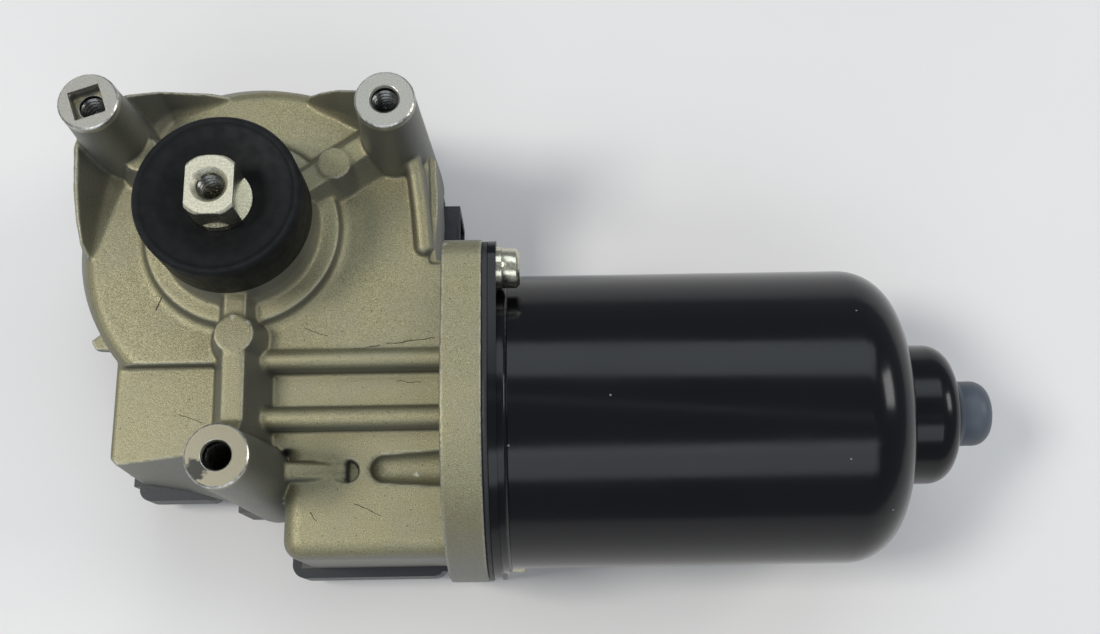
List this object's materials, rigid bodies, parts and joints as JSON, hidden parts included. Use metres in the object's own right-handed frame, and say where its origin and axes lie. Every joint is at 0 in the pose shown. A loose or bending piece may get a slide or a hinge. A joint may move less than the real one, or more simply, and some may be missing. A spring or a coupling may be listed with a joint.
{
  "type": "windshield wiper motor",
  "caption": "Wiper motor with worm gearbox: die-cast housing with threaded posts, capped output shaft with flats, long black round motor can and a rear cover.",
  "frame": {"origin": "on the output shaft's axis, in the plane of the three mounting posts' faces", "axes": "+Z out of the output shaft's end, +X from the gearbox along the motor towards the can's tip"},
  "size_m": [0.2003, 0.1116, 0.0708],
  "materials": {
    "cast_aluminium": "blasted die casting",
    "black_paint": "gloss black paint",
    "black_rubber": "matt",
    "cap_rubber": "satin",
    "zinc_steel": "zinc plated",
    "bright_steel": "ground",
    "bronze": "sintered",
    "brass": "stamped",
    "copper": "enamelled copper",
    "lamination_iron": "punched sheet",
    "ferrite": "ground ferrite",
    "carbon": "pressed carbon",
    "white_plastic": "moulded",
    "brown_plastic": "moulded",
    "black_plastic": "moulded",
    "gasket_paper": "pressed sheet",
    "blue_coating": "dipped"
  },
  "bodies": {
    "root": {"gear_housing": "cast_aluminium", "output_bush_upper": "bronze", "output_bush_lower": "bronze", "shaft_seal": "black_rubber", "worm_end_bush": "bronze", "worm_end_ball": "bright_steel", "front_bush": "bronze", "rear_bush": "bronze", "rear_bush_cup": "bright_steel", "rear_thrust_ball": "bright_steel", "motor_can": "black_paint", "can_seal": "black_rubber", "can_screws": "zinc_steel", "can_washers": "zinc_steel", "magnet_north": "ferrite", "magnet_south": "ferrite", "magnet_clips": "bright_steel", "brush_plate": "brown_plastic", "brush_guides": "brass", "carbon_brushes": "carbon", "brush_springs": "bright_steel", "choke_coils": "copper", "suppression_capacitor": "blue_coating", "thermal_breaker": "bright_steel", "rear_cover": "black_plastic", "cover_gasket": "gasket_paper", "cover_screws": "zinc_steel", "contact_carrier": "brown_plastic", "contact_fingers": "brass", "connector_shroud": "black_plastic", "connector_pins": "brass"},
    "armature": {"armature_shaft": "bright_steel", "lamination_stack": "lamination_iron", "armature_winding": "copper", "commutator": "copper", "armature_insulators": "brown_plastic"},
    "output": {"output_shaft": "zinc_steel", "splash_cap": "cap_rubber", "shaft_circlip": "bright_steel", "thrust_shims": "bright_steel", "worm_wheel": "white_plastic", "wheel_hub": "bright_steel", "park_ring": "brass"}
  },
  "joints": [
    {"name": "armature_spin", "type": "hinge", "parent": "root", "child": "armature", "pos_m": [0.1, -0.0395, -0.0342], "axis": [1, 0, 0], "continuous": true},
    {"name": "output_spin", "type": "hinge", "parent": "root", "child": "output", "pos_m": [0, 0, 0], "axis": [0, 0, 1], "continuous": true}
  ],
  "couplings": [
    {"joint": "output_spin", "follows": "armature_spin", "ratio": -0.014706}
  ]
}
